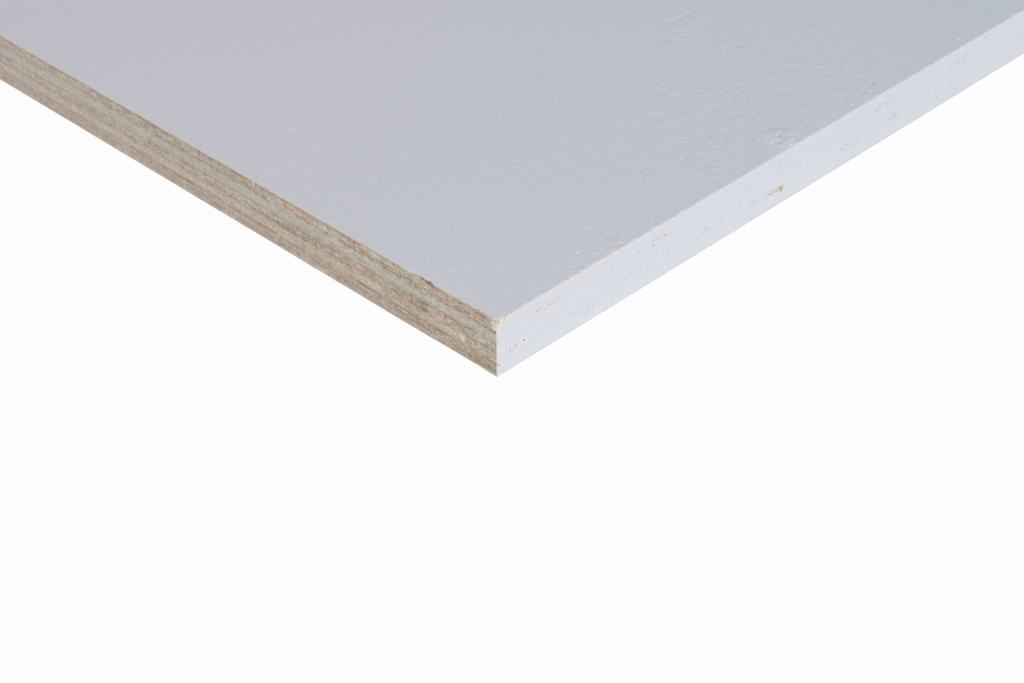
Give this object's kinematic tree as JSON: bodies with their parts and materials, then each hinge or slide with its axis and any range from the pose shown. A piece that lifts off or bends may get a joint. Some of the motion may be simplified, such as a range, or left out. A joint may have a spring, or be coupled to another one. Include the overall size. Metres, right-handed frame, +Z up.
{
  "type": "painted plywood sheet",
  "caption": "Flat rectangular building board of cross-laid wood veneers, painted white on its faces and long edges and left raw on its sawn short ends.",
  "frame": {"origin": "middle of the underside", "axes": "+X along the sheet and its face grain, +Y across it, +Z up through its thickness from back to face"},
  "size_m": [2.44, 1.22, 0.015],
  "materials": {
    "white_paint": "satin white primer, rolled on, with a fine orange peel and pinholes",
    "long_grain_veneer": "raw hardwood veneer, sawn across the grain at the short ends",
    "cross_grain_veneer": "raw pale hardwood veneer, sawn along the grain at the short ends"
  },
  "bodies": {
    "root": {"face_paint": "white_paint", "back_paint": "white_paint", "front_edge_paint": "white_paint", "rear_edge_paint": "white_paint", "face_veneer": "long_grain_veneer", "upper_crossband": "cross_grain_veneer", "core_veneer": "long_grain_veneer", "lower_crossband": "cross_grain_veneer", "back_veneer": "long_grain_veneer"}
  },
  "joints": []
}
